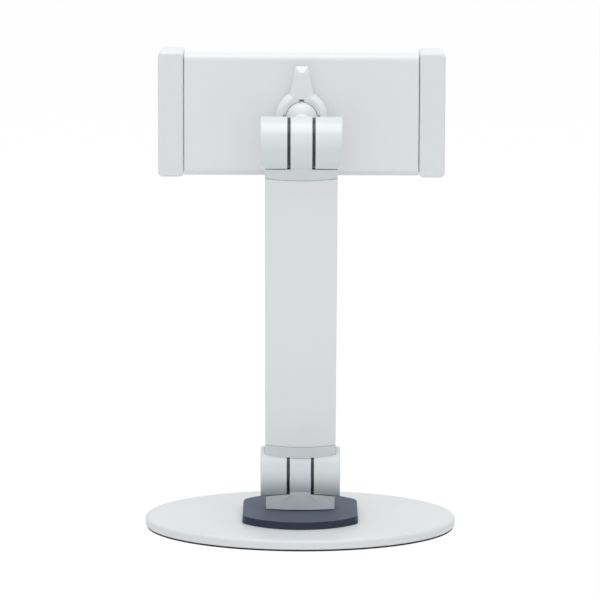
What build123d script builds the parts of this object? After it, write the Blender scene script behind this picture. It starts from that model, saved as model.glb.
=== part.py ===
from build123d import *
import os
from math import acos, cos, degrees, pi, radians, sin, sqrt, tan

# A desk mount for a tablet: an oval steel base, a column between two friction hinges, and a holder
# with sprung jaws on a clamped ball. Millimetres, +Z up. The origin is the centre of the underside.
# The back of the holder looks to -Y, and the screen of a tablet in it looks to +Y.
# The column leans back by column_lean, as in the photograph, and the holder stands upright.

# Clearances
running = 0.05  # radial, shafts and balls in their own holes and seats
sliding = 0.1  # between flat faces that move on each other
free = 0.3  # between pieces that pass each other
barrel_gap = 0.35  # between a hinge barrel and the shoulder it turns against

# Base plate and the sheet under it
base_length = 172.0
base_depth = 132.0
plate_thickness = 5.0
plate_top_round = 1.5
plate_bottom_chamfer = 0.5
pad_thickness = 1.0
pad_inset = 0.8

# Puck under the foot, and the pins that stop it from turning
puck_diameter = 77.2
puck_across_flats = 63.6
puck_height = 4.1
puck_draft = 5.0  # degrees
puck_corner_round = 10.0
puck_edge_round = 0.5
pin_diameter = 4.0
pin_length = 5.0
pin_spacing = 44.0

# Swivel bolt from below, through the plate and the puck into the foot
swivel_bolt_diameter = 6.0
swivel_head_diameter = 14.0
swivel_head_height = 2.0
swivel_washer_diameter = 17.0
swivel_washer_thickness = 0.8
swivel_thread_depth = 9.0
glide_diameter = 16.0
glide_thickness = 0.6

# Hinges: two outer barrels, a centre knuckle, and a friction washer in each slot
barrel_radius = 14.0
hinge_width = 44.1
knuckle_width = 11.5
slot_width = 1.8
barrel_edge_round = 0.8
hinge_bolt_diameter = 8.0
bolt_head_diameter = 13.0
bolt_head_height = 5.0
bolt_socket_across = 5.0
bolt_socket_depth = 3.0
nut_across_flats = 13.0
nut_height = 6.5
disc_spring_count = 3
disc_spring_diameter = 12.5
disc_spring_thickness = 0.8
disc_spring_dish = 0.3
friction_washer_diameter = 27.2
plug_diameter = 20.0
plug_thickness = 2.0
plug_edge_chamfer = 0.4

# Foot of the lower hinge
foot_width = 38.0
foot_thickness = 18.0
foot_neck_depth = 20.0  # where the neck leaves the knuckle
foot_fan_step = 0.6  # from the foot's shoulders down to where the neck spreads
hinge_height = 30.8  # of the lower hinge's axis above the desk

# Column: a lens-shaped extrusion with two webs, and a cap at each end
column_width = 39.0
column_thickness = 15.0
column_sagitta = 2.9  # how far the broad faces bulge
column_corner_round = 1.2
column_inner_round = 0.3
column_wall = 1.8
column_web = 1.4
column_web_spacing = 16.0
hinge_spacing = 200.0
cap_reach = 19.0  # from a hinge axis to the seam of its cap
cap_plug_length = 22.0
seam_chamfer = 0.3  # on both sides of each seam between a cap and the tube
column_lean = 17.0  # degrees from upright, towards -Y

# Yoke and ball
yoke_pitch = 17.0  # degrees, the stem's rise towards the holder
ball_reach = 34.0  # from the upper hinge's axis to the ball's centre
ball_radius = 9.5
neck_radius = 5.3
stud_shank_radius = 3.5
yoke_nose_reach = 19.5
yoke_nose_height = 13.0
yoke_nose_width = 19.0
yoke_root_width = 40.0
yoke_root_reach = 8.0
yoke_nose_round = 3.0

# Ball clamp: friction seats, a slotted collet and the wing nut that squeezes it
seat_thickness = 1.2
cup_angle = 45.0  # degrees, half the opening angle of the cup in front of the ball
ring_front = 4.9  # from the ball's centre towards the holder
ring_back = 2.1
lip_reach = 4.45  # from the ball's centre to the open end of the collet
lip_gap = 0.4
lip_wall = 1.15
collet_wall = 1.15
collet_floor = 1.5
collet_cone_length = 4.3
slit_width = 2.7
slit_depth = 8.0
flange_radius = 16.8
flange_thickness = 1.8
flange_screw_circle = 28.8
flange_screw_count = 4
nut_radius = 14.0
nut_bevel_depth = 2.4
nut_bevel_angle = 45.0  # degrees
nut_end_overhang = 0.1
nut_skirt_gap = 2.8  # from the back cover to the nut
nut_fit = 0.1
lever_reach = 27.6
lever_tip_width = 6.5
lever_tip_round = 1.1
lever_root_width = 13.6
lever_root_height = 10.5
lever_thickness = 5.4
lever_root_fillet = 1.5
lever_tip_facet = 3.0

# Holder: back cover, front cover and pad. Depths count from the ball's centre towards +Y.
cover_width = 127.6
cover_height = 66.4
cover_back = 7.6
cover_depth = 13.0
cover_wall = 2.2
cover_back_round = 3.4
cover_inner_round = 1.7
cover_end_round = 0.8
cover_front_round = 1.2
cover_end_wall = 2.0
cover_screw_reach = 38.3  # from the middle to the two screws between the racks
front_pad_width = 112.0
front_pad_height = 52.0
front_pad_thickness = 1.0
front_pad_corner = 6.0
guide_width = 3.0
guide_wall = 1.2
boss_radius = 3.0

# Jaws
jaw_width = 14.0
jaw_height = 68.0
jaw_travel = 38.0
jaw_seam = 0.3
jaw_hook_overlap = 1.5  # how far the hook stands over the cover's end
jaw_lip_reach = 5.0
jaw_lip_thickness = 3.2
jaw_lip_height = 60.0
jaw_lip_corner = 4.0
jaw_outer_taper = 3.0
jaw_corner_round = 2.5
jaw_edge_round = 1.2
jaw_taper_round = 2.4
tablet_thickness = 12.6  # room between the front pad and the lips
jaw_pad_thickness = 1.5
jaw_pad_margin = 3.0

# Sliders with their racks, and the pinion between them
slider_thickness = 4.0
slider_base_thickness = 3.5
slider_base_depth = 8.0
slider_offset = 1.0  # of the arms, from the middle of the cover's depth towards +Y
tooth_module = 1.0
pinion_teeth = 16
tooth_addendum = 0.9
tooth_dedendum = 1.2
tooth_pressure_angle = 20.0
tooth_backlash = 0.12  # taken off each tooth's thickness
flank_points = 4
rack_bar = 5.75
rack_lead = 5.0  # toothed length past the last contact
plain_arm_height = 6.0
plain_arm_reach = 20.0
pinion_thickness = 3.2
pinion_hub_radius = 3.2
pinion_hub_length = 2.1
pinion_pin_radius = 2.0
pinion_pin_seat = 1.3

# Spiral spring that pulls the jaws together
spring_strip = 0.35
spring_height = 1.7
spring_pitch = 0.9
spring_half_turns = 7
spring_post_radius = 0.8

# Small screws of the holder
screw_radius = 1.2
screw_head_radius = 2.1
screw_length = 8.0
flange_screw_radius = 0.9
flange_screw_head_radius = 1.7
flange_screw_length = 3.4
slider_screw_offsets = (-18.0, 2.0)

# Heights and places that follow from the sizes above
plate_top = pad_thickness + plate_thickness
puck_top = plate_top + puck_height
foot_bottom = puck_top + glide_thickness + sliding
foot_drop = hinge_height - foot_bottom
swivel_pocket_top = pad_thickness + free + swivel_head_height + swivel_washer_thickness + sliding
pin_bottom = plate_top - pin_length / 2
half_hinge = hinge_width / 2
half_knuckle = knuckle_width / 2
slot_face = half_knuckle + slot_width
lean = radians(column_lean)
upper_axis = (0.0, -hinge_spacing * sin(lean), hinge_height + hinge_spacing * cos(lean))
pitch_angle = radians(yoke_pitch)
ball_centre = (
    0.0,
    upper_axis[1] + ball_reach * cos(pitch_angle),
    upper_axis[2] + ball_reach * sin(pitch_angle),
)
half_cover = cover_width / 2
cover_front = cover_back + cover_depth
cover_split = cover_front - cover_wall
pitch_radius = tooth_module * pinion_teeth / 2
tooth_pitch = pi * tooth_module

to_lower_hinge = Pos(0, 0, hinge_height)
to_column = to_lower_hinge * Rot(column_lean, 0, 0)
to_upper_hinge = Pos(*upper_axis)
to_yoke = to_upper_hinge * Rot(yoke_pitch, 0, 0)
to_holder = Pos(*ball_centre)


# Helpers


def rod_x(radius, start, end):
    """A round rod along X between two X places."""
    return Pos((start + end) / 2, 0, 0) * Rot(0, 90, 0) * Cylinder(radius, end - start)


def rod_y(radius, start, end):
    """A round rod along Y between two Y places."""
    return Pos(0, (start + end) / 2, 0) * Rot(90, 0, 0) * Cylinder(radius, end - start)


def rod_z(radius, start, end):
    """A round rod along Z between two heights."""
    return Pos(0, 0, (start + end) / 2) * Cylinder(radius, end - start)


def block(x, y, z):
    """A box from three (low, high) pairs."""
    centre = Pos((x[0] + x[1]) / 2, (y[0] + y[1]) / 2, (z[0] + z[1]) / 2)
    return centre * Box(x[1] - x[0], y[1] - y[0], z[1] - z[0])


def slab(sketch, start, end):
    """A sketch drawn in X and Z, as a slab between two Y places."""
    plane = Plane(origin=(0, end, 0), x_dir=(1, 0, 0), z_dir=(0, -1, 0))
    return extrude(plane * sketch, amount=end - start)


def spun(points, axis):
    """A closed outline in X and Y, turned about one of those axes."""
    return revolve(make_face(Polyline(*points, close=True)), axis)


def both_sides(shape):
    """A shape and its mirror image across the middle plane of the mount."""
    return shape + mirror(shape, Plane.YZ)


def bulging(width, thickness, sagitta):
    """An outline with two bulging broad faces, two flat narrow sides and sharp corners."""
    half = width / 2
    side = thickness / 2 - sagitta
    near = ThreePointArc((-half, -side), (0, -thickness / 2), (half, -side))
    right = Line((half, -side), (half, side))
    far = ThreePointArc((half, side), (0, thickness / 2), (-half, side))
    left = Line((-half, side), (-half, -side))
    return make_face(Curve() + [near, right, far, left])


def lens(width, thickness, sagitta, corner_round):
    """The same outline with rounded corners."""
    return fillet(bulging(width, thickness, sagitta).vertices(), corner_round)


def prism(sketch, start, end):
    """A sketch drawn in X and Y, between two heights."""
    return extrude(Pos(0, 0, start) * sketch, amount=end - start)


# Base


def make_base_plate():
    plate = prism(Ellipse(base_length / 2, base_depth / 2), pad_thickness, plate_top)
    plate = fillet(plate.faces().sort_by(Axis.Z)[-1].edges(), plate_top_round)
    plate = chamfer(plate.faces().sort_by(Axis.Z)[0].edges(), plate_bottom_chamfer)
    pocket_radius = swivel_washer_diameter / 2 + free
    plate -= rod_z(pocket_radius, 0, swivel_pocket_top)
    plate -= rod_z(swivel_bolt_diameter / 2 + running, 0, plate_top + free)
    for x in (-pin_spacing / 2, pin_spacing / 2):
        plate -= Pos(x, 0, 0) * rod_z(pin_diameter / 2 + running, pin_bottom, plate_top + free)
    return plate


def make_nonslip_pad():
    return prism(Ellipse(base_length / 2 - pad_inset, base_depth / 2 - pad_inset), 0, pad_thickness)


def make_puck():
    outline = Circle(puck_diameter / 2 + puck_height * tan(radians(puck_draft)))
    foot_across = puck_across_flats + 2 * puck_height * tan(radians(puck_draft))
    outline &= Rectangle(foot_across, puck_diameter * 2)
    outline = fillet(outline.vertices(), puck_corner_round)
    puck = extrude(Pos(0, 0, plate_top) * outline, amount=puck_height, taper=puck_draft)
    puck = fillet(puck.faces().sort_by(Axis.Z)[-1].edges(), puck_edge_round)
    puck -= rod_z(swivel_bolt_diameter / 2 + running, plate_top - free, puck_top + free)
    for x in (-pin_spacing / 2, pin_spacing / 2):
        puck -= Pos(x, 0, 0) * rod_z(pin_diameter / 2 + running, plate_top - free, pin_bottom + pin_length)
    return puck


def make_puck_pins():
    pins = []
    for x in (-pin_spacing / 2, pin_spacing / 2):
        pins.append(Pos(x, 0, 0) * rod_z(pin_diameter / 2, pin_bottom, pin_bottom + pin_length))
    return Compound(children=pins)


# Swivel and foot


def make_swivel_bolt():
    head_bottom = pad_thickness + free
    head_top = head_bottom + swivel_head_height
    bolt = rod_z(swivel_head_diameter / 2, head_bottom, head_top)
    return bolt + rod_z(swivel_bolt_diameter / 2, head_top, foot_bottom + swivel_thread_depth)


def make_swivel_washer():
    top = swivel_pocket_top - sliding
    washer = rod_z(swivel_washer_diameter / 2, top - swivel_washer_thickness, top)
    return washer - rod_z(swivel_bolt_diameter / 2 + running, 0, plate_top)


def make_glide_washer():
    washer = rod_z(glide_diameter / 2, foot_bottom - glide_thickness, foot_bottom)
    return washer - rod_z(swivel_bolt_diameter / 2 + running, 0, hinge_height)


def hinge_knuckle():
    """The centre knuckle of a hinge, with its bolt hole."""
    return rod_x(barrel_radius, -half_knuckle, half_knuckle)


def shoulder_scoops():
    """The room that the outer barrels need beside a centre knuckle."""
    scoop = rod_x(barrel_radius + barrel_gap, half_knuckle, half_hinge + barrel_radius)
    return both_sides(scoop)


def bolt_hole():
    return rod_x(hinge_bolt_diameter / 2 + running, -hinge_width, hinge_width)


def make_hinge_foot():
    """Built with the hinge's axis at the origin and the foot below it."""
    foot = prism(lens(foot_width, foot_thickness, column_sagitta, column_corner_round), -foot_drop, 0)
    # A short neck leaves the knuckle's underside between the outer barrels.
    neck_half = foot_neck_depth / 2
    neck_top = -sqrt(barrel_radius**2 - neck_half**2)
    fan_top = -sqrt((barrel_radius + barrel_gap) ** 2 - (foot_thickness / 2) ** 2) - foot_fan_step
    fan_half = neck_half + (foot_thickness / 2 - neck_half) * (neck_top - fan_top) / (neck_top + foot_drop)
    left = ((-neck_half, neck_top), (-fan_half, fan_top))
    right = ((fan_half, fan_top), (neck_half, neck_top))
    side = Polyline(*left, *right, close=True)
    foot += extrude(Plane.YZ * make_face(side), amount=half_knuckle, both=True)
    # Below the shoulders the neck spreads like a fan over the foot's broad faces.
    spread = bulging(foot_width - 2 * column_corner_round, foot_thickness - 2 * running, column_sagitta)
    neck_end = Rectangle(knuckle_width, 2 * fan_half)
    foot += loft([Pos(0, 0, -foot_drop) * spread, Pos(0, 0, fan_top) * neck_end], ruled=True)
    foot -= shoulder_scoops()
    foot += hinge_knuckle()
    foot -= bolt_hole()
    bolt_end = swivel_thread_depth - foot_drop + free
    foot -= rod_z(swivel_bolt_diameter / 2 + running, -foot_drop - free, bolt_end)
    return foot


# Hinge hardware, built with the hinge's axis along X through the origin


head_seat = half_hinge - plug_thickness - 2 * free - bolt_head_height
disc_spring_stack = disc_spring_count * (disc_spring_thickness + running) + disc_spring_dish
nut_end = half_hinge - plug_thickness - 2 * free
nut_seat = nut_end - nut_height - disc_spring_stack


def hexagon(across):
    return RegularPolygon(across / 2, 6, major_radius=False)


def hex_bar(across, start, end):
    return extrude(Plane.YZ.offset(start) * hexagon(across), amount=end - start)


def outer_barrels():
    """The two outer barrels of a hinge, before their holes."""
    barrel = rod_x(barrel_radius, slot_face, half_hinge)
    barrel = fillet(barrel.edges().sort_by(Axis.X)[-1], barrel_edge_round)
    return both_sides(barrel)


def barrel_cuts():
    """Bolt hole, head pocket, nut pocket and the recesses of the plugs."""
    beyond = half_hinge + free
    recess = rod_x(plug_diameter / 2 + running, half_hinge - plug_thickness - free, beyond)
    cuts = bolt_hole() + both_sides(recess)
    cuts += rod_x(bolt_head_diameter / 2 + free, head_seat, beyond)
    cuts += hex_bar(nut_across_flats + 2 * running, -beyond, -nut_seat)
    return cuts


def make_hinge_bolt():
    shank = hinge_bolt_diameter / 2
    head = bolt_head_diameter / 2
    outline = (
        (-nut_end, 0),
        (-nut_end, shank),
        (head_seat, shank),
        (head_seat, head),
        (head_seat + bolt_head_height, head),
        (head_seat + bolt_head_height, 0),
    )
    end = head_seat + bolt_head_height
    return spun(outline, Axis.X) - hex_bar(bolt_socket_across, end - bolt_socket_depth, end + free)


def make_hinge_nut():
    nut = hex_bar(nut_across_flats, -nut_end, nut_height - nut_end)
    return nut - bolt_hole()


def make_disc_springs():
    """A stack of dished washers between the nut and its seat."""
    inner = hinge_bolt_diameter / 2 + running
    outer = disc_spring_diameter / 2
    springs = []
    for index in range(disc_spring_count):
        start = -nut_seat - index * (disc_spring_thickness + running)
        outline = (
            (start, outer),
            (start - disc_spring_dish, inner),
            (start - disc_spring_dish - disc_spring_thickness, inner),
            (start - disc_spring_thickness, outer),
        )
        springs.append(spun(outline, Axis.X))
    return Compound(children=springs)


def make_friction_washers():
    """One washer in each slot, seated on the outer barrel."""
    washer = rod_x(friction_washer_diameter / 2, half_knuckle + sliding, slot_face) - bolt_hole()
    return Compound(children=[washer, mirror(washer, Plane.YZ)])


def make_barrel_plugs():
    plug = rod_x(plug_diameter / 2, half_hinge - plug_thickness, half_hinge)
    plug = chamfer(plug.edges().sort_by(Axis.X)[-1], plug_edge_chamfer)
    return Compound(children=[plug, mirror(plug, Plane.YZ)])


def hinge_hardware(prefix, place):
    return {
        prefix + "_hinge_bolt": place * make_hinge_bolt(),
        prefix + "_hinge_nut": place * make_hinge_nut(),
        prefix + "_disc_springs": place * make_disc_springs(),
        prefix + "_friction_washers": place * make_friction_washers(),
        prefix + "_barrel_plugs": place * make_barrel_plugs(),
    }


# Column, built upright with the lower hinge's axis at the origin


def column_outline(inset):
    """The column's outline, drawn in from its face by a distance."""
    corner = max(column_corner_round - inset, column_inner_round)
    return lens(column_width - 2 * inset, column_thickness - 2 * inset, column_sagitta, corner)


def column_webs(extra):
    """Outlines of the two webs inside the column, each side grown by extra."""
    webs = Sketch()
    for x in (-column_web_spacing / 2, column_web_spacing / 2):
        webs += Pos(x, 0) * Rectangle(column_web + 2 * extra, column_thickness)
    return webs


def make_column_tube():
    tube = prism(column_outline(0), cap_reach, hinge_spacing - cap_reach)
    ends = tube.faces().sort_by(Axis.Z)
    tube = chamfer(ends[0].edges() + ends[-1].edges(), seam_chamfer)
    hollow = column_outline(column_wall) - column_webs(0)
    return tube - prism(hollow, cap_reach - free, hinge_spacing - cap_reach + free)


def cap_plug(start, end):
    """Three fingers that fill the tube's chambers."""
    return prism(column_outline(column_wall + running) - column_webs(running), start, end)


def make_lower_cap():
    cap = prism(column_outline(0), 0, cap_reach)
    cap = chamfer(cap.faces().sort_by(Axis.Z)[-1].edges(), seam_chamfer)
    cap -= rod_x(barrel_radius + barrel_gap, -slot_face, slot_face)
    cap += outer_barrels()
    cap += cap_plug(cap_reach, cap_reach + cap_plug_length)
    return cap - barrel_cuts()


def make_upper_cap():
    """Built with the upper hinge's axis at the origin, and the tube below it."""
    cap = prism(column_outline(0), -cap_reach, 0)
    cap = chamfer(cap.faces().sort_by(Axis.Z)[0].edges(), seam_chamfer)
    cap -= shoulder_scoops()
    cap += hinge_knuckle()
    cap += cap_plug(-cap_reach - cap_plug_length, -cap_reach)
    return cap - bolt_hole()


# Yoke, built with the upper hinge's axis at the origin and the stem along +Y


def make_yoke():
    half_root = yoke_root_width / 2
    half_nose = yoke_nose_width / 2
    plan = Polyline(
        (-half_root, 0),
        (half_root, 0),
        (half_root, yoke_root_reach),
        (half_nose, yoke_nose_reach),
        (-half_nose, yoke_nose_reach),
        (-half_root, yoke_root_reach),
        close=True,
    )
    half_height = yoke_nose_height / 2
    boss = prism(make_face(plan), -half_height, half_height)
    nose_edges = boss.faces().sort_by(Axis.Y)[-1].edges()
    boss = fillet(nose_edges, yoke_nose_round)
    yoke = boss + outer_barrels()
    yoke -= rod_x(barrel_radius + barrel_gap, -slot_face, slot_face)
    yoke -= rod_y(stud_shank_radius + running, barrel_radius, yoke_nose_reach + free)
    return yoke - barrel_cuts()


def make_ball_stud():
    stud = Pos(0, ball_reach, 0) * Sphere(ball_radius)
    stud += rod_y(neck_radius, yoke_nose_reach, ball_reach)
    stud += rod_y(stud_shank_radius, barrel_radius + barrel_gap + running, yoke_nose_reach)
    return stud


# Ball clamp, built with the ball's centre at the origin and the holder towards +Y


seat_inner = ball_radius + running
seat_outer = seat_inner + seat_thickness
cavity_radius = seat_outer + 3 * running
ring_outer = cavity_radius - running
collet_radius = cavity_radius + collet_wall
collet_end = cavity_radius + collet_floor
lip_inner = sqrt((ball_radius + lip_gap) ** 2 - lip_reach**2)
lip_outer = lip_inner + lip_wall
flange_front = collet_end
flange_back = flange_front - flange_thickness


def shell(inner, outer):
    return Sphere(outer) - Sphere(inner)


def make_ball_cup():
    """The cup in front of the ball, cut from a hollow sphere by a cone."""
    far = 2 * seat_outer
    cone = spun(((0, 0), (far * tan(radians(cup_angle)), far), (0, far)), Axis.Y)
    return shell(seat_inner, seat_outer) & cone


def make_ball_ring():
    ring = rod_y(ring_outer, -ring_back, ring_front) - Sphere(seat_inner)
    # Room for the cup when it swings with the ball.
    cup_room = Sphere(seat_outer + running) & rod_y(ring_outer, ring_front / 2, seat_outer)
    return ring - cup_room


def collet_slits():
    slit_y = (-2 * lip_reach, slit_depth - lip_reach)
    slit = block((-slit_width / 2, slit_width / 2), slit_y, (0, flange_radius))
    slits = Part()
    for turn in range(flange_screw_count):
        slits += Rot(0, 90 * turn, 0) * slit
    return slits


def flange_screw_places():
    """The flange's screws stand halfway between the slits."""
    places = []
    for index in range(flange_screw_count):
        angle = radians(360 * (index + 0.5) / flange_screw_count)
        places.append((flange_screw_circle / 2 * cos(angle), flange_screw_circle / 2 * sin(angle)))
    return places


def make_ball_socket():
    cone_end = collet_cone_length - lip_reach
    outline = (
        (0, -lip_reach),
        (lip_outer, -lip_reach),
        (collet_radius, cone_end),
        (collet_radius, flange_back),
        (flange_radius, flange_back),
        (flange_radius, flange_front),
        (0, flange_front),
    )
    socket = spun(outline, Axis.Y)
    socket -= Sphere(cavity_radius) & rod_y(cavity_radius, 0, cavity_radius)
    socket -= rod_y(cavity_radius, -ring_back - running, ring_front)
    socket -= Sphere(ball_radius + lip_gap)
    socket -= collet_slits() & rod_y(flange_radius, -2 * lip_reach, cover_back)
    for x, z in flange_screw_places():
        socket -= Pos(x, 0, z) * flange_screw(running)
    return socket


def countersunk(shank, head, length, top, grow):
    """A countersunk screw that points to -Y, with its flat head at a Y place."""
    depth = head - shank
    outline = (
        (0, top),
        (head + grow, top),
        (shank + grow, top - depth),
        (shank + grow, top - length),
        (0, top - length),
    )
    return spun(outline, Axis.Y)


def flange_screw(grow):
    return countersunk(
        flange_screw_radius, flange_screw_head_radius, flange_screw_length, flange_front, grow
    )


def make_socket_screws():
    return Compound(children=[Pos(x, 0, z) * flange_screw(0) for x, z in flange_screw_places()])


def lever_outline():
    """The nut's round outline with the lever on top of it."""
    tip = lever_tip_width / 2
    root = lever_root_width / 2
    lever = Polyline(
        (-root, 0),
        (root, 0),
        (root, lever_root_height),
        (tip, lever_reach),
        (-tip, lever_reach),
        (-root, lever_root_height),
        close=True,
    )
    outline = Circle(nut_radius) + make_face(lever)
    roots = outline.vertices().group_by(Axis.Y)[-2]
    outline = fillet(roots, lever_root_fillet)
    tips = outline.vertices().group_by(Axis.Y)[-1]
    return fillet(tips, lever_tip_round)


def make_wing_nut():
    end = -lip_reach - nut_end_overhang
    bevel_start = end + nut_bevel_depth
    lever_front = bevel_start + lever_thickness - nut_bevel_depth
    skirt = cover_back - nut_skirt_gap
    nut = slab(lever_outline(), bevel_start, lever_front)
    nut += slab(Circle(nut_radius), lever_front, skirt)
    plane = Plane(origin=(0, bevel_start, 0), x_dir=(1, 0, 0), z_dir=(0, -1, 0))
    nut += extrude(plane * lever_outline(), amount=nut_bevel_depth, taper=nut_bevel_angle)
    # The lever's tip is cut off at a slant towards the back.
    facet = Plane(origin=(0, end, lever_reach - lever_tip_facet), x_dir=(1, 0, 0), z_dir=(0, -1, 1))
    nut = split(nut, facet, keep=Keep.BOTTOM)
    cone_end = collet_cone_length - lip_reach
    bore = (
        (0, end - free),
        (lip_outer + nut_fit, end - free),
        (lip_outer + nut_fit, -lip_reach),
        (collet_radius + nut_fit, cone_end),
        (collet_radius + nut_fit, cover_back),
        (0, cover_back),
    )
    return nut - spun(bore, Axis.Y)


# Rack and pinion


slider_back = cover_back + (cover_depth - slider_thickness) / 2 + slider_offset
slider_front = slider_back + slider_thickness
rack_low = pitch_radius + tooth_dedendum
rack_high = rack_low + rack_bar - tooth_dedendum + tooth_addendum
plain_high = -cover_height / 2 + cover_wall + 2 * free
plain_low = plain_high + plain_arm_height
pinion_back = collet_end + 2 * sliding
pinion_front = pinion_back + pinion_thickness


def involute_angle(radius, base_radius):
    """How far an involute has turned from its start when it reaches a radius."""
    angle = acos(base_radius / radius)
    return tan(angle) - angle


def gear_outline():
    """Straight-sided steps along true involutes, so each tooth lies just inside the true one."""
    pressure = radians(tooth_pressure_angle)
    base_radius = pitch_radius * cos(pressure)
    tip_radius = pitch_radius + tooth_addendum
    root_radius = pitch_radius - tooth_dedendum
    half_tooth = (tooth_pitch / 2 - tooth_backlash) / 2 / pitch_radius
    start_angle = half_tooth + involute_angle(pitch_radius, base_radius)
    flank = [(root_radius, start_angle)]
    for index in range(flank_points):
        radius = base_radius + (tip_radius - base_radius) * index / (flank_points - 1)
        flank.append((radius, start_angle - involute_angle(radius, base_radius)))
    points = []
    for tooth in range(pinion_teeth):
        middle = 2 * pi * tooth / pinion_teeth
        one_tooth = [(radius, middle - angle) for radius, angle in flank]
        one_tooth += [(radius, middle + angle) for radius, angle in reversed(flank)]
        points += [(radius * cos(angle), radius * sin(angle)) for radius, angle in one_tooth]
    return make_face(Polyline(*points, close=True))


def make_pinion():
    pinion = slab(gear_outline(), pinion_back, pinion_front)
    pinion += rod_y(pinion_hub_radius, pinion_front, pinion_front + pinion_hub_length)
    return pinion - rod_y(pinion_pin_radius + running, pinion_back - free, cover_front)


def rack_outline(first, last):
    """A toothed bar over the pinion, with a tooth space at X = 0."""
    slope = tan(radians(tooth_pressure_angle))
    half_tooth = (tooth_pitch / 2 - tooth_backlash) / 2
    tip = half_tooth - tooth_addendum * slope
    root = half_tooth + tooth_dedendum * slope
    bar = Pos((first + last) / 2, (rack_low + rack_high) / 2) * Rectangle(last - first, rack_high - rack_low)
    index = 0
    while (index + 1) * tooth_pitch < last:
        middle = (index + 0.5) * tooth_pitch
        bar += rack_tooth(middle, tip, root)
        index += 1
    bar += rack_tooth(-tooth_pitch / 2, tip, root)
    return bar


def rack_tooth(middle, tip, root):
    low = pitch_radius - tooth_addendum
    tooth = Polyline(
        (middle - tip, low),
        (middle + tip, low),
        (middle + root, rack_low),
        (middle - root, rack_low),
        close=True,
    )
    return make_face(tooth)


def make_left_slider():
    """Two arms on a base that sits in the left jaw. The upper arm carries the rack."""
    inner = -half_cover - jaw_seam
    outer = inner - slider_base_thickness
    rack = slab(rack_outline(inner, jaw_travel + rack_lead), slider_back, slider_front)
    plain = block((inner, plain_arm_reach), (slider_back, slider_front), (plain_high, plain_low))
    middle = (slider_back + slider_front) / 2
    base_y = (middle - slider_base_depth / 2, middle + slider_base_depth / 2)
    base = block((outer, inner), base_y, (plain_high, rack_high))
    slider = rack + plain + base
    for z in slider_screw_offsets:
        slider -= Pos(inner, middle, z) * slider_screw(running)
    return slider


def slider_screw(grow):
    """A countersunk screw that points to -X, with its flat head at the origin."""
    return Rot(0, 0, -90) * countersunk(screw_radius, screw_head_radius, screw_length, 0, grow)


def make_left_slider_screws():
    inner = -half_cover - jaw_seam
    middle = (slider_back + slider_front) / 2
    return Compound(children=[Pos(inner, middle, z) * slider_screw(0) for z in slider_screw_offsets])


def make_spring():
    """A spiral of half rings round the pinion's hub, each a little wider than the last."""
    start = pinion_front + sliding
    band = Sketch()
    for index in range(spring_half_turns):
        radius = pinion_hub_radius + running + spring_strip / 2 + spring_pitch / 4 + index * spring_pitch / 2
        side = 1 if index % 2 == 0 else -1
        ring = Circle(radius + spring_strip / 2) - Circle(radius - spring_strip / 2)
        half_plane = Pos(0, side * radius) * Rectangle(4 * radius, 2 * radius)
        band += Pos(-side * spring_pitch / 4, 0) * (ring & half_plane)
    return slab(band, start, start + spring_height)


def spring_outer_radius():
    last = pinion_hub_radius + running + spring_pitch / 4 + (spring_half_turns - 1) * spring_pitch / 2
    return last + spring_strip + spring_pitch / 4


# Covers and pads of the holder


pad_face = cover_front + front_pad_thickness


def cover_screw_places():
    """Two screws between the racks, and two beyond the ends of the plain arms, sunk in the wall."""
    x = cover_screw_reach
    outer_z = cover_height / 2 - cover_wall - boss_radius / 2
    return ((-x, 0.0), (x, 0.0), (-x, outer_z), (x, -outer_z))


def cover_screw(grow):
    return countersunk(screw_radius, screw_head_radius, screw_length, cover_front, grow)


def make_cover_screws():
    return Compound(children=[Pos(x, 0, z) * cover_screw(0) for x, z in cover_screw_places()])


def arm_notches():
    """Open notches in both end walls, where the arms of the sliders come out."""
    left = -half_cover
    x = (left - free, left + cover_end_wall + free)
    y = (slider_back - sliding, cover_split + free)
    notch = block(x, y, (rack_low - free, rack_high + free))
    notch += block(x, y, (plain_high - free, plain_low + free))
    return notch + Rot(0, 180, 0) * notch


def slider_guides():
    """Rails behind the arms of both sliders, and a wall beside each rack."""
    inner = half_cover - cover_end_wall
    rail_y = (cover_back + cover_wall, slider_back - sliding)
    wall_y = (cover_back + cover_wall, slider_front)
    rack_middle = (rack_low + rack_high) / 2
    plain_middle = (plain_low + plain_high) / 2
    rails = Part()
    for z in (rack_middle, plain_middle):
        rails += block((-inner, inner), rail_y, (z - guide_width / 2, z + guide_width / 2))
    wall_start = rack_high + free
    rails += block((-inner, inner), wall_y, (wall_start, wall_start + guide_wall))
    return rails + Rot(0, 180, 0) * rails


def make_back_cover():
    half_height = cover_height / 2
    cover = block((-half_cover, half_cover), (cover_back, cover_split), (-half_height, half_height))
    long_edges = cover.faces().sort_by(Axis.Y)[0].edges().filter_by(Axis.X)
    cover = fillet(long_edges, cover_back_round)
    for end in (cover.faces().sort_by(Axis.X)[0], cover.faces().sort_by(Axis.X)[-1]):
        cover = fillet(end.edges().sort_by(Axis.Y)[:-1], cover_end_round)
    inner_x = half_cover - cover_end_wall
    inner_z = half_height - cover_wall
    inner_y = cover_back + cover_wall
    cavity = block((-inner_x, inner_x), (inner_y, cover_split + free), (-inner_z, inner_z))
    cavity = fillet(cavity.faces().sort_by(Axis.Y)[0].edges().filter_by(Axis.X), cover_inner_round)
    cover -= cavity
    cover += slider_guides()
    cover += rod_y(flange_radius + guide_wall, inner_y - running, flange_back)
    cover -= rod_y(flange_radius + free, flange_back, slider_back)
    for x, z in cover_screw_places():
        cover += Pos(x, 0, z) * rod_y(boss_radius, inner_y - running, cover_split)
        cover -= Pos(x, 0, z) * cover_screw(running)
    cover -= rod_y(collet_radius + running, 0, cover_front)
    cover -= arm_notches()
    for x, z in flange_screw_places():
        cover -= Pos(x, 0, z) * flange_screw(running)
    return cover


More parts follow.
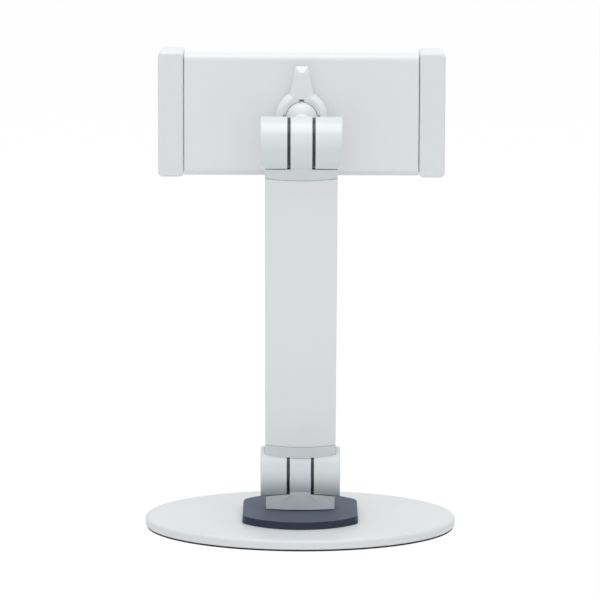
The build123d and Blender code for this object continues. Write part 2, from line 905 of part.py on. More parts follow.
def make_front_cover():
    half_height = cover_height / 2
    cover = block((-half_cover, half_cover), (cover_split, cover_front), (-half_height, half_height))
    cover = fillet(cover.faces().sort_by(Axis.Y)[-1].edges(), cover_front_round)
    inner_x = half_cover - cover_end_wall - free
    rail_y = (slider_front + sliding, cover_split)
    rack_middle = (rack_low + rack_high) / 2
    plain_middle = (plain_low + plain_high) / 2
    for z in (-rack_middle, rack_middle, plain_middle, -plain_middle):
        cover += block((-inner_x, inner_x), rail_y, (z - guide_width / 2, z + guide_width / 2))
    post_x = spring_outer_radius() + spring_post_radius + sliding
    cover += Pos(-post_x, 0, 0) * rod_y(spring_post_radius, pinion_front + 2 * sliding, cover_split)
    for x, z in cover_screw_places():
        cover -= Pos(x, 0, z) * rod_y(boss_radius + free, slider_back, cover_split)
        cover -= Pos(x, 0, z) * cover_screw(running)
    return cover - rod_y(pinion_pin_radius + running, slider_back, cover_split + pinion_pin_seat)


def make_pinion_pin():
    return rod_y(pinion_pin_radius, pinion_back, cover_split + pinion_pin_seat)


def make_front_pad():
    pad = RectangleRounded(front_pad_width, front_pad_height, front_pad_corner)
    return slab(pad, cover_front, pad_face)


# Jaws


hook_inner = half_cover - jaw_hook_overlap
jaw_inner = half_cover + jaw_seam
jaw_outer = half_cover + jaw_seam + jaw_width
lip_back = pad_face + tablet_thickness
lip_front = lip_back + jaw_lip_thickness
hook_step = cover_front + free


def jaw_plan():
    """The right jaw seen from above: a thick end, a hook and a lip."""
    end_corner = (jaw_outer, cover_back)
    taper_corner = (jaw_outer - jaw_outer_taper, lip_front)
    tip_corner = (hook_inner - jaw_lip_reach, lip_front)
    inner_tip_corner = (hook_inner - jaw_lip_reach, lip_back)
    corners = (
        (jaw_inner, cover_back),
        end_corner,
        (jaw_outer, cover_front),
        taper_corner,
        tip_corner,
        inner_tip_corner,
        (hook_inner, lip_back),
        (hook_inner, hook_step),
        (jaw_inner, hook_step),
    )
    plan = make_face(Polyline(*corners, close=True))
    plan = fillet(nearest(plan, taper_corner), jaw_taper_round)
    for corner in (tip_corner, inner_tip_corner):
        plan = fillet(nearest(plan, corner), jaw_edge_round)
    return plan


def nearest(sketch, place):
    """The corner of a sketch that is closest to a place."""
    return sketch.vertices().sort_by_distance((place[0], place[1], 0))[0]


def jaw_front():
    """The right jaw seen along Y: a tall rounded end, and a lower lip beside it."""
    end = RectangleRounded(jaw_width, jaw_height, jaw_corner_round)
    reach = jaw_inner + jaw_corner_round - hook_inner + jaw_lip_reach
    lip = RectangleRounded(reach + jaw_lip_corner, jaw_lip_height, jaw_lip_corner)
    end = Pos(jaw_inner + jaw_width / 2, 0) * end
    return end + Pos(hook_inner - jaw_lip_reach + (reach + jaw_lip_corner) / 2, 0) * lip


def make_right_jaw():
    jaw = prism(jaw_plan(), -jaw_height / 2, jaw_height / 2)
    jaw &= slab(jaw_front(), cover_back - free, lip_front + free)
    jaw = fillet(jaw.faces().sort_by(Axis.Y)[0].outer_wire().edges(), jaw_edge_round)
    jaw -= Rot(0, 180, 0) * slider_base_room()
    for z in slider_screw_offsets:
        jaw -= Rot(0, 180, 0) * Pos(-jaw_inner, (slider_back + slider_front) / 2, z) * slider_screw(running)
    return jaw


def slider_base_room():
    """The pocket in the left jaw for the base of its slider."""
    middle = (slider_back + slider_front) / 2
    y = (middle - slider_base_depth / 2 - running, middle + slider_base_depth / 2 + running)
    z = (plain_high - running, rack_high + running)
    return block((-jaw_inner - slider_base_thickness, -jaw_inner + free), y, z)


def make_right_jaw_pad():
    half_height = jaw_lip_height / 2 - jaw_pad_margin
    y = (hook_step + 2 * free + front_pad_thickness, lip_back - 2 * free)
    return block((hook_inner - jaw_pad_thickness, hook_inner), y, (-half_height, half_height))


# All pieces at rest. The left jaw is the right one turned half round about the ball's Y axis.


def opposite(shape):
    return Rot(0, 180, 0) * shape


pieces = {
    "base_plate": make_base_plate(),
    "nonslip_pad": make_nonslip_pad(),
    "puck": make_puck(),
    "puck_pins": make_puck_pins(),
    "swivel_bolt": make_swivel_bolt(),
    "swivel_washer": make_swivel_washer(),
    "glide_washer": make_glide_washer(),
    "hinge_foot": to_lower_hinge * make_hinge_foot(),
    "lower_cap": to_column * make_lower_cap(),
    "column_tube": to_column * make_column_tube(),
    "upper_cap": to_column * Pos(0, 0, hinge_spacing) * make_upper_cap(),
    "yoke": to_yoke * make_yoke(),
    "ball_stud": to_yoke * make_ball_stud(),
    "ball_cup": to_holder * make_ball_cup(),
    "ball_ring": to_holder * make_ball_ring(),
    "ball_socket": to_holder * make_ball_socket(),
    "socket_screws": to_holder * make_socket_screws(),
    "wing_nut": to_holder * make_wing_nut(),
    "back_cover": to_holder * make_back_cover(),
    "front_cover": to_holder * make_front_cover(),
    "cover_screws": to_holder * make_cover_screws(),
    "front_pad": to_holder * make_front_pad(),
    "pinion": to_holder * make_pinion(),
    "pinion_pin": to_holder * make_pinion_pin(),
    "jaw_spring": to_holder * make_spring(),
    "right_jaw": to_holder * make_right_jaw(),
    "left_jaw": to_holder * opposite(make_right_jaw()),
    "right_jaw_pad": to_holder * make_right_jaw_pad(),
    "left_jaw_pad": to_holder * opposite(make_right_jaw_pad()),
    "left_slider": to_holder * make_left_slider(),
    "right_slider": to_holder * opposite(make_left_slider()),
    "left_slider_screws": to_holder * make_left_slider_screws(),
    "right_slider_screws": to_holder * opposite(make_left_slider_screws()),
}
pieces.update(hinge_hardware("lower", to_column))
pieces.update(hinge_hardware("upper", to_yoke))

# Every node is written as plain solids in their final places.
os.makedirs("parts", exist_ok=True)
for name, piece in pieces.items():
    export_step(Compound(piece.solids()), "parts/" + name + ".step")

print("lower hinge axis", 0.0, 0.0, hinge_height)
print("upper hinge axis", *(round(value, 3) for value in upper_axis))
print("ball centre", *(round(value, 3) for value in ball_centre))
print("radians of pinion per metre of jaw", round(1000 / pitch_radius, 3))
print("pinion turn in degrees", round(degrees(jaw_travel / pitch_radius), 2))
print("tablet room", round(2 * (hook_inner - jaw_pad_thickness), 2), "to",
      round(2 * (hook_inner - jaw_pad_thickness + jaw_travel), 2), "wide,", tablet_thickness, "deep")
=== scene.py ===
# %% [markdown]
# # A desk mount for a tablet
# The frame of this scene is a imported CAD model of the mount: base, column, hinges, ball clamp and
# the holder with its two jaws. Everything is in metres. The origin is the middle of the underside,
# +Z is up, and the back of the holder looks to -Y, where the camera stands.

# %% Load the frame
import bpy
import bmesh
import math
from mathutils import Matrix, Vector


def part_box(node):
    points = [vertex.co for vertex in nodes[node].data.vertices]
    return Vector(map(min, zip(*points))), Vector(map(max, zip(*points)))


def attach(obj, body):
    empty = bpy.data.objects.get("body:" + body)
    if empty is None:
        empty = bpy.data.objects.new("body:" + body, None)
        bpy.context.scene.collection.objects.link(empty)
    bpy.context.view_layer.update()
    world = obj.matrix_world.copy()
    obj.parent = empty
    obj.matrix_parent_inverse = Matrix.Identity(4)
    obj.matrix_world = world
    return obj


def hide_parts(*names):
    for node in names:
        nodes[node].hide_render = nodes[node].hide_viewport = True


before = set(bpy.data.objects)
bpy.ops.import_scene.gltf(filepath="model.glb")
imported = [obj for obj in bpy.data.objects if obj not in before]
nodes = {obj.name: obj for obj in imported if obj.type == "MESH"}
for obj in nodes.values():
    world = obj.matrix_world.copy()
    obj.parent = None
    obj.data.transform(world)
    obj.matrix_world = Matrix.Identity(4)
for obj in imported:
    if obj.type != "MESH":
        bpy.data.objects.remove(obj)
scene = bpy.context.scene
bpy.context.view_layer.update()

# %% [markdown]
# ## Camera
# The photograph was taken with a long lens from a little above the mount, straight behind the
# holder. A long lens keeps the sides of the column almost parallel. The camera could be aimed by
# eye, but a few pixels of error already shift every edge. So the place, pitch and focal length
# below come from a fit to edges of the base, the column and the holder. The lens shift moves the
# picture without turning the camera.

# %% Camera
camera_distance = 2.238
camera_height = 0.4982
camera_pitch = math.radians(9.52)
camera_roll = math.radians(0.2)
focal_pixels = 4109.0
picture_pixels = 600
centre_pixels = (300.9, 307.8)

camera_data = bpy.data.cameras.new("camera")
camera_data.sensor_width = 36.0
camera_data.lens = focal_pixels / picture_pixels * camera_data.sensor_width
camera_data.shift_x = (picture_pixels / 2 - centre_pixels[0]) / picture_pixels
camera_data.shift_y = (centre_pixels[1] - picture_pixels / 2) / picture_pixels
camera_data.clip_end = 20.0
camera = bpy.data.objects.new("camera", camera_data)
scene.collection.objects.link(camera)
aim = Matrix.Rotation(math.pi / 2 - camera_pitch, 4, "X") @ Matrix.Rotation(camera_roll, 4, "Z")
camera.matrix_world = Matrix.Translation((0.0, -camera_distance, camera_height)) @ aim
scene.camera = camera
print("lens", round(camera_data.lens, 1), "mm")

# %% [markdown]
# ## Helpers for materials
# A material is a small graph of nodes. The same few links are made again and again, so these
# helpers make a node with its values set, join an output to an input, and build node groups.

# %% Nodes and links
def add(tree, kind, **values):
    """A new node of a kind. Values whose names are inputs are set there, the others on the node."""
    node = tree.nodes.new(kind)
    for name, value in values.items():
        label = name.replace("_", " ")
        match = [socket for socket in node.inputs if socket.name.lower() == label.lower()]
        if match:
            match[0].default_value = value
        else:
            setattr(node, name, value)
    return node


def join(tree, source, output, target, name):
    """A link from an output to an input, each given by its name or its place in the list."""
    tree.links.new(source.outputs[output], target.inputs[name])


def calculate(tree, operation, *terms):
    """A Math node. A term is a number, or a node with the name or place of its output."""
    node = add(tree, "ShaderNodeMath", operation=operation)
    for place, term in enumerate(terms):
        if isinstance(term, tuple):
            join(tree, term[0], term[1], node, place)
        else:
            node.inputs[place].default_value = term
    return node


# %% Node groups
COLOR, FLOAT, VECTOR = "NodeSocketColor", "NodeSocketFloat", "NodeSocketVector"
PALE = (0.8, 0.8, 0.8, 1.0)


def new_group(name, inputs, outputs):
    """An empty node group with named sockets: (name, kind, default) in, (name, kind) out."""
    group = bpy.data.node_groups.new(name, "ShaderNodeTree")
    for label, kind, default in inputs:
        socket = group.interface.new_socket(name=label, in_out="INPUT", socket_type=kind)
        socket.default_value = default
    for label, kind in outputs:
        group.interface.new_socket(name=label, in_out="OUTPUT", socket_type=kind)
    return group, group.nodes.new("NodeGroupInput"), group.nodes.new("NodeGroupOutput")


def place_group(tree, group, **values):
    """A use of a group in a material, with its own values."""
    node = tree.nodes.new("ShaderNodeGroup")
    node.node_tree = group
    for name, value in values.items():
        node.inputs[name].default_value = value
    return node


# %% [markdown]
# ## Shared effects
# Paint and moulded plastic are never perfectly even, and two of the four small effects here stand
# for that: a slow drift in tone over centimetres, and the fine pebbled skin of powder coat and
# moulded parts. The other two are painted light. A painted highlight lightens the outer edges,
# where light catches, and painted shade darkens the narrow seams between two pieces, where hardly
# any light gets in. They could be painted as pictures, but nodes on Object coordinates need no
# unwrapping and stay sharp. Each one is a group, so that every finish can use it at its own
# strength.

# %% Noise and scaling, which the effects share
def sized_noise(group, g_in, **values):
    """Noise on Object coordinates, with its scale from the group's Size."""
    where = add(group, "ShaderNodeTexCoord")
    noise = add(group, "ShaderNodeTexNoise", **values)
    join(group, where, "Object", noise, "Vector")
    join(group, g_in, "Size", noise, "Scale")
    return noise


def scaled_color(group, g_in, factor, g_out):
    """The group's Color times a factor, sent to its Color output."""
    scaled = add(group, "ShaderNodeVectorMath", operation="SCALE")
    join(group, g_in, "Color", scaled, 0)
    join(group, factor, 0, scaled, "Scale")
    join(group, scaled, 0, g_out, "Color")


# %% Tone drift
tone_drift, g_in, g_out = new_group(
    "tone_drift",
    (("Color", COLOR, PALE), ("Size", FLOAT, 20.0), ("Amount", FLOAT, 0.02)),
    (("Color", COLOR), ("Mask", FLOAT)),
)
noise = sized_noise(tone_drift, g_in, Detail=2.0, Roughness=0.5)
centred = calculate(tone_drift, "SUBTRACT", (noise, "Fac"), 0.5)
factor = calculate(tone_drift, "MULTIPLY_ADD", (centred, 0), (g_in, "Amount"), 1.0)
scaled_color(tone_drift, g_in, factor, g_out)
join(tone_drift, noise, "Fac", g_out, "Mask")

# %% Pebbled skin
pebbled_skin, g_in, g_out = new_group(
    "pebbled_skin",
    (("Size", FLOAT, 1500.0), ("Height", FLOAT, 0.2)),
    (("Normal", VECTOR),),
)
pebbles = sized_noise(pebbled_skin, g_in, Detail=3.0, Roughness=0.6)
relief = add(pebbled_skin, "ShaderNodeBump", Distance=0.0001)
join(pebbled_skin, g_in, "Height", relief, "Strength")
join(pebbled_skin, pebbles, "Fac", relief, "Height")
join(pebbled_skin, relief, "Normal", g_out, "Normal")

# %% Edge light
mix_a, mix_b, mix_result = 6, 7, 2  # places of a Mix node's colour sockets
# Painted highlight: the colour is made lighter where Pointiness finds a sharp outer edge.
edge_light, g_in, g_out = new_group(
    "edge_light",
    (("Color", COLOR, PALE), ("Edge", COLOR, (0.9, 0.9, 0.9, 1.0)), ("Amount", FLOAT, 0.3)),
    (("Color", COLOR),),
)
shape = add(edge_light, "ShaderNodeNewGeometry")
sharpness = add(edge_light, "ShaderNodeMapRange", From_Min=0.52, From_Max=0.62)
join(edge_light, shape, "Pointiness", sharpness, "Value")
strength = calculate(edge_light, "MULTIPLY", (sharpness, "Result"), (g_in, "Amount"))
blend = add(edge_light, "ShaderNodeMix", data_type="RGBA")
join(edge_light, strength, 0, blend, "Factor")
join(edge_light, g_in, "Color", blend, mix_a)
join(edge_light, g_in, "Edge", blend, mix_b)
join(edge_light, blend, mix_result, g_out, "Color")

# %% Seam shade
# Painted shade: the colour is made darker where ambient occlusion finds a narrow closed seam.
seam_shade, g_in, g_out = new_group(
    "seam_shade",
    (("Color", COLOR, PALE), ("Reach", FLOAT, 0.0008), ("Amount", FLOAT, 0.5)),
    (("Color", COLOR),),
)
openness = add(seam_shade, "ShaderNodeAmbientOcclusion", samples=6)
join(seam_shade, g_in, "Reach", openness, "Distance")
closed = add(seam_shade, "ShaderNodeMapRange", From_Min=0.85, From_Max=0.35)
join(seam_shade, openness, "AO", closed, "Value")
taken = calculate(seam_shade, "MULTIPLY", (closed, "Result"), (g_in, "Amount"))
factor = calculate(seam_shade, "SUBTRACT", 1.0, (taken, 0))
scaled_color(seam_shade, g_in, factor, g_out)
print("groups:", [group.name for group in bpy.data.node_groups])

# %% [markdown]
# ## Finishes
# Most of the mount is white. It is still made of several finishes: powder coat on the steel base,
# a smoother coat on the aluminium column, moulded satin plastic on the holder, and gloss on the
# ball and the wing nut. They differ in tone by a few percent, in roughness and in their skin. One
# recipe with a few numbers keeps them alike where they should be, and easy to compare. A sheen in
# pale blue stands for the sky-like light that dark satin surfaces catch at a flat angle.

# %% Colours as a screen shows them
def linear(red, green, blue):
    """A colour given as 0 to 255 screen values, as the shader wants it."""
    def one(value):
        """The same step for one channel: the screen's curve, undone."""
        value = value / 255.0
        return value / 12.92 if value <= 0.04045 else ((value + 0.055) / 1.055) ** 2.4
    return (one(red), one(green), one(blue), 1.0)


# %% One recipe for coated and moulded surfaces
drift_size = 18.0  # waves of tone per metre
# Painted highlight on edges: edge_lift is how much lighter the colour is drawn there.
edge_lift = 1.12  # how much lighter an edge is
roughness_spread = 0.15  # share by which the roughness wanders
sheen_roughness = 0.3
sheen_tint = (0.62, 0.72, 0.9, 1.0)


def finish(name, screen_color, roughness, skin_size, skin_height, drift=0.02, metallic=0.0,
           specular=0.5, coat=0.0, coat_roughness=0.1, edge_gain=0.25, sheen=0.0, painted_seam_shade=0.0):
    """A material with the shared effects; painted_seam_shade paints shade into its seams."""
    material = bpy.data.materials.new(name)
    material.use_nodes = True
    tree = material.node_tree
    shader = tree.nodes["Principled BSDF"]
    shader_values = {
        "Roughness": roughness, "Metallic": metallic, "Specular IOR Level": specular,
        "Coat Weight": coat, "Coat Roughness": coat_roughness, "Sheen Weight": sheen,
        "Sheen Roughness": sheen_roughness, "Sheen Tint": sheen_tint,
    }
    for label, value in shader_values.items():
        shader.inputs[label].default_value = value
    base = linear(*screen_color)
    tone = place_group(tree, tone_drift, Color=base, Size=drift_size, Amount=drift)
    # Painted highlight on the outer edges, then painted shade in the seams where it is asked for.
    lighter = tuple(min(1.0, channel * edge_lift) for channel in base[:3]) + (1.0,)
    colored = place_group(tree, edge_light, Edge=lighter, Amount=edge_gain)
    join(tree, tone, "Color", colored, "Color")
    if painted_seam_shade:
        shade = place_group(tree, seam_shade, Amount=painted_seam_shade)
        join(tree, colored, "Color", shade, "Color")
        colored = shade
    join(tree, colored, "Color", shader, "Base Color")
    uneven = add(tree, "ShaderNodeMapRange", To_Min=roughness * (1.0 - roughness_spread),
                 To_Max=min(1.0, roughness * (1.0 + roughness_spread)))
    join(tree, tone, "Mask", uneven, "Value")
    join(tree, uneven, "Result", shader, "Roughness")
    skin = place_group(tree, pebbled_skin, Size=skin_size, Height=skin_height)
    join(tree, skin, "Normal", shader, "Normal")
    return material


# %% White and grey coats
base_coat = finish("base_powder_coat", (229, 232, 233), 0.42, 1400.0, 0.25)
column_coat = finish("column_coat", (236, 238, 238), 0.38, 2200.0, 0.12, drift=0.015, painted_seam_shade=0.7)
cap_coat = finish("cap_coat", (220, 225, 226), 0.3, 2000.0, 0.1, drift=0.015, specular=0.7,
                  painted_seam_shade=0.8)
foot_coat = finish("foot_coat", (219, 224, 229), 0.38, 2000.0, 0.12, drift=0.015)
puck_coat = finish("puck_coat", (55, 61, 74), 0.5, 1700.0, 0.35, drift=0.04, specular=0.06,
                   edge_gain=0.4, sheen=0.85)
print("coats:", [m.name for m in (base_coat, column_coat, cap_coat, foot_coat, puck_coat)])

# %% Plastics, rubbers and steels
holder_plastic = finish("holder_plastic", (231, 232, 234), 0.34, 3000.0, 0.08, drift=0.01)
jaw_plastic = finish("jaw_plastic", (230, 232, 233), 0.34, 3000.0, 0.08, drift=0.01)
nut_gloss = finish("nut_gloss", (232, 235, 235), 0.4, 2600.0, 0.04, drift=0.01, coat=0.05,
                   coat_roughness=0.3)
ball_gloss = finish("ball_gloss", (228, 231, 231), 0.36, 2600.0, 0.03, drift=0.01, coat=0.1,
                    coat_roughness=0.3)
socket_plastic = finish("socket_plastic", (228, 230, 231), 0.32, 2600.0, 0.06)
washer_grey = finish("washer_grey", (32, 35, 42), 0.33, 2400.0, 0.1, specular=0.5, sheen=0.9)
seat_grey = finish("seat_grey", (150, 151, 152), 0.4, 2400.0, 0.1)
rubber_black = finish("rubber_black", (28, 28, 30), 0.8, 900.0, 0.6, drift=0.1)
rubber_grey = finish("rubber_grey", (118, 120, 122), 0.75, 1100.0, 0.5, drift=0.06)
zinc_steel = finish("zinc_steel", (170, 171, 174), 0.32, 1800.0, 0.1, metallic=1.0)
spring_steel = finish("spring_steel", (120, 121, 124), 0.35, 1800.0, 0.1, metallic=1.0)
print("materials:", len(bpy.data.materials))

# %% Who wears which finish
worn_by = {
    "base_plate": base_coat, "nonslip_pad": rubber_black, "puck": puck_coat,
    "hinge_foot": foot_coat, "column_tube": column_coat, "lower_cap": cap_coat,
    "upper_cap": cap_coat, "yoke": cap_coat, "lower_barrel_plugs": cap_coat,
    "upper_barrel_plugs": cap_coat, "ball_stud": ball_gloss, "ball_socket": socket_plastic,
    "wing_nut": nut_gloss, "back_cover": holder_plastic, "front_cover": holder_plastic,
    "left_slider": holder_plastic, "right_slider": holder_plastic, "left_jaw": jaw_plastic,
    "right_jaw": jaw_plastic, "front_pad": rubber_grey, "left_jaw_pad": rubber_grey,
    "right_jaw_pad": rubber_grey, "pinion": seat_grey, "ball_cup": seat_grey,
    "ball_ring": seat_grey, "glide_washer": washer_grey, "lower_friction_washers": washer_grey,
    "upper_friction_washers": washer_grey, "jaw_spring": spring_steel,
    "swivel_washer": spring_steel, "lower_disc_springs": spring_steel,
    "upper_disc_springs": spring_steel,
}
for name, node in nodes.items():
    node.data.materials.clear()
    node.data.materials.append(worn_by.get(name, zinc_steel))
print("finishes worn:", len({node.data.materials[0].name for node in nodes.values()}))

# %% [markdown]
# ## Making pieces
# The CAD gives plain rubber sheets, plain screw heads and plain plugs. The real ones have ribs, a
# cross recess and a shallow dish. Each is modelled again from a bmesh, stands for its CAD node and
# rides on the same body. A bump map could fake these forms, but it would look flat from the side.
# Normals are turned outwards, and only edges sharper than 35 degrees stay hard, so round walls
# look round.

# %% Boxes of the CAD nodes
def box_of(name):
    """The low and the high corner of a CAD node."""
    low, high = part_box(name)
    return Vector(low), Vector(high)


# %% From a bmesh to a piece
weld_distance = 1e-6
sharp_angle = math.radians(35.0)


def finish_piece(name, builder, material, body, slot, *node_names):
    """A mesh piece that stands for CAD nodes and rides on a body. Its slot is not used."""
    bmesh.ops.remove_doubles(builder, verts=builder.verts, dist=weld_distance)
    bmesh.ops.recalc_face_normals(builder, faces=builder.faces)
    open_edges = sum(edge.is_boundary or not edge.is_manifold for edge in builder.edges)
    mesh = bpy.data.meshes.new(name)
    builder.to_mesh(mesh)
    builder.free()
    mesh.materials.append(material)
    mesh.shade_smooth()
    mesh.set_sharp_from_angle(angle=sharp_angle)
    piece = bpy.data.objects.new(name, mesh)
    scene.collection.objects.link(piece)
    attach(piece, body)
    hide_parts(*node_names)
    print(name, len(mesh.polygons), "faces,", open_edges, "open edges")


# %% [markdown]
# ## Rubber pads
# A tablet rests on a sheet of silicone in front of the cover and is gripped by a strip in each jaw.
# Such pads are moulded with a plain rim and a field of shallow bands, which grip and let dust fall
# between them. A row of separate boxes would leave gaps or overlaps. Here a box with bevelled
# corners gives the outline, an inset gives the rim, cuts across the field give the bands, and one
# inset of all of them together sinks each band a little, so the skin stays closed.

# %% A ribbed pad
def top_faces(builder):
    """The faces that look straight up."""
    builder.normal_update()
    return [face for face in builder.faces if face.normal.z > 0.999]


def bevel_edges(builder, edges, offset, segments):
    """Round some edges. The profile of 0.5 is a plain arc."""
    bmesh.ops.bevel(builder, geom=edges, offset=offset, offset_type="OFFSET", affect="EDGES",
                    segments=segments, profile=0.5, material=-1)


def cut_across(builder, faces, place):
    """Cut some faces at a place along Y, and give back all of them."""
    geometry = list(faces)
    for face in faces:
        geometry += list(face.edges) + list(face.verts)
    geometry = list(dict.fromkeys(geometry))
    cut = bmesh.ops.bisect_plane(builder, geom=geometry, plane_co=(0, place, 0),
                                 plane_no=(0, 1, 0))
    return [part for part in cut["geom"] if isinstance(part, bmesh.types.BMFace)]


def ribbed_pad(size, corner, rim, pitch, sink):
    """A pad in the XY plane, facing +Z, with sunken bands stacked along Y."""
    height, thickness = size[1:]
    edge_share = 0.3  # bevel of the top edge, as a share of the thickness
    gap_share = 0.14  # wall beside a band, as a share of the band's height
    builder = bmesh.new()
    bmesh.ops.create_cube(builder, size=1.0)
    bmesh.ops.scale(builder, vec=size, verts=builder.verts)
    upright = [edge for edge in builder.edges
               if abs(edge.verts[0].co.z - edge.verts[1].co.z) > thickness / 2]
    bevel_edges(builder, upright, corner, 8)
    bevel_edges(builder, list(top_faces(builder)[0].edges), thickness * edge_share, 3)
    field = top_faces(builder)
    bmesh.ops.inset_region(builder, faces=field, thickness=rim, depth=0.0, use_even_offset=True)
    bands = max(2, round((height - 2 * rim) / pitch))
    step = (height - 2 * rim) / bands
    for index in range(1, bands):
        field = cut_across(builder, field, -height / 2 + rim + index * step)
    bmesh.ops.inset_individual(builder, faces=field, thickness=step * gap_share, depth=-sink,
                               use_even_offset=True)
    return builder


# %% The pad on the front cover
def put_in_box(builder, low, high, across, up, out):
    """Move a pad's middle to a box's middle, with its axes along the given directions."""
    turn = Matrix((across, up, out)).transposed().to_4x4()
    place = Matrix.Translation((low + high) / 2) @ turn
    bmesh.ops.transform(builder, matrix=place, verts=builder.verts)


low, high = box_of("front_pad")
size = high - low
pad = ribbed_pad((size.x, size.z, size.y), corner=0.006, rim=0.003, pitch=0.0046, sink=0.0006)
put_in_box(pad, low, high, (-1, 0, 0), (0, 0, 1), (0, 1, 0))
finish_piece("front_pad_ribbed", pad, rubber_grey, "holder", "grey_rubber", "front_pad")

# %% The strips in the jaws
jaws = (("left", 1), ("right", -1))  # each side, and the way along X that its jaw looks
for side, inward in jaws:
    name = side + "_jaw_pad"
    low, high = box_of(name)
    size = high - low
    pad = ribbed_pad((size.y, size.z, size.x), corner=0.0015, rim=0.001, pitch=0.003, sink=0.0004)
    put_in_box(pad, low, high, (0, inward, 0), (0, 0, 1), (inward, 0, 0))
    finish_piece(name + "_ribbed", pad, rubber_grey, side + "_jaw", "grey_rubber", name)

# %% [markdown]
# ## Screws
# The two covers are held by countersunk screws. Only their heads show, and a head without a recess
# looks like a rivet. The outline of the screw is spun round its axis. A Boolean could cut the
# cross, but it leaves long thin triangles. So the cross is a ring of twelve points, bridged to the
# head's rim and pushed down into the head.

# %% Turned shapes
def turned(outline, axis, steps):
    """Spin an outline of (x, z) points round an axis through the origin."""
    builder = bmesh.new()
    points = [builder.verts.new((x, 0.0, z)) for x, z in outline]
    lines = [builder.edges.new(pair) for pair in zip(points, points[1:])]
    bmesh.ops.spin(builder, geom=points + lines, cent=(0, 0, 0), axis=axis, angle=2 * math.pi,
                   steps=steps, use_merge=True)
    bmesh.ops.remove_doubles(builder, verts=builder.verts, dist=weld_distance)
    return builder


# %% A countersunk screw with a cross recess
screw_head = 0.0021  # radius
screw_shank = 0.0012  # radius
screw_length = 0.008
head_land = 0.00012  # the upright edge of the head


def cross_ring(builder, half, arm):
    """A closed ring of edges round a cross, in the XY plane."""
    quarter = ((half, half), (half, arm), (-half, arm))
    cross = []
    for turn in range(4):
        spin = Matrix.Rotation(turn * math.pi / 2, 3, "Z")
        cross += [builder.verts.new(spin @ Vector((x, y, 0.0))) for x, y in quarter]
    return [builder.edges.new(pair) for pair in zip(cross, cross[1:] + cross[:1])]


def cross_screw():
    """A screw along Z with its head's face at Z = 0 and its tip below."""
    outline = ((screw_head, 0.0), (screw_head, -head_land),
               (screw_shank, -(screw_head - screw_shank)), (screw_shank, -screw_length),
               (0.0, -screw_length))
    builder = turned(outline, (0, 0, 1), 24)
    rim = [edge for edge in builder.edges
           if edge.is_boundary and edge.verts[0].co.z > -weld_distance]
    ring = cross_ring(builder, half=screw_head * 0.13, arm=screw_head * 0.6)
    bmesh.ops.bridge_loops(builder, edges=rim + ring)
    pushed = bmesh.ops.extrude_edge_only(builder, edges=ring)
    floor_points = [part for part in pushed["geom"] if isinstance(part, bmesh.types.BMVert)]
    bmesh.ops.translate(builder, vec=(0, 0, -screw_head * 0.5), verts=floor_points)
    bmesh.ops.scale(builder, vec=(0.7, 0.7, 1.0), verts=floor_points)
    open_edges = [edge for edge in builder.edges if edge.is_boundary]
    bmesh.ops.holes_fill(builder, edges=open_edges, sides=0)
    return builder


screw = cross_screw()
print("screw:", len(screw.faces), "faces")

# %% The four screws of the covers
def add_copy(target, builder, matrix):
    """Put a copy of one bmesh into another, at a place."""
    mesh = bpy.data.meshes.new("copy")
    builder.to_mesh(mesh)
    before = len(target.verts)
    target.from_mesh(mesh)
    target.verts.ensure_lookup_table()
    bmesh.ops.transform(target, matrix=matrix, verts=target.verts[before:])
    bpy.data.meshes.remove(mesh)


low, high = box_of("cover_screws")
middle = (low + high) / 2
reach = Vector((high.x - low.x, 0, high.z - low.z)) / 2 - Vector((screw_head, 0, screw_head))
to_front = Matrix.Rotation(-math.pi / 2, 4, "X")
all_screws = bmesh.new()
for x, z in ((-reach.x, 0.0), (reach.x, 0.0), (-reach.x, reach.z), (reach.x, -reach.z)):
    place = Matrix.Translation((middle.x + x, high.y, middle.z + z))
    twist = Matrix.Rotation(0.4 + 30 * x, 4, "Z")  # left and right end at different angles
    add_copy(all_screws, screw, place @ to_front @ twist)
finish_piece("cover_screws_crossed", all_screws, zinc_steel, "holder", "steel", "cover_screws")

# %% The screws of the sliders
for side, inward in jaws:
    name = side + "_slider_screws"
    low, high = box_of(name)
    face = high.x if inward > 0 else low.x
    to_middle = Matrix.Rotation(inward * math.pi / 2, 4, "Y")
    all_screws = bmesh.new()
    for height, twist in ((low.z + screw_head, 0.3), (high.z - screw_head, 1.1)):
        place = Matrix.Translation((face, (low.y + high.y) / 2, height))
        add_copy(all_screws, screw, place @ (to_middle @ Matrix.Rotation(twist, 4, "Z")))
    finish_piece(name + "_crossed", all_screws, zinc_steel, side + "_jaw", "steel", name)
screw.free()

# %% [markdown]
# ## Barrel plugs
# A round plug closes each end of a hinge, over the bolt's head or its nut. Turned or moulded plugs
# have a narrow rim and a slightly sunken face. A cylinder with insets would do too, but an outline
# that is spun round the hinge's axis holds the rim, the slope and the dish in one list of points.

# %% A dished plug
plug_thickness = 0.002
plug_edge = 0.0004  # size of the rounded outer edge
plug_edge_middle = 0.00012  # how far the middle of that edge lies inside the corner
plug_rim = 0.0012  # from the wall to the inner end of the flat rim
plug_slope = (0.0016, 0.0022)  # from the wall to the bend and to the end of the slope
plug_dish = (0.0003, 0.0004)  # depth of the dish at those two places


def dished_plug(radius):
    """A plug along X, with its outer face at X = 0 and its body behind it."""
    outline = (
        (-plug_thickness, 0.0), (-plug_thickness, radius), (-plug_edge, radius),
        (-plug_edge_middle, radius - plug_edge_middle), (0.0, radius - plug_edge),
        (0.0, radius - plug_rim), (-plug_dish[0], radius - plug_slope[0]),
        (-plug_dish[1], radius - plug_slope[1]), (-plug_dish[1], 0.0),
    )
    return turned(outline, (1, 0, 0), 72)


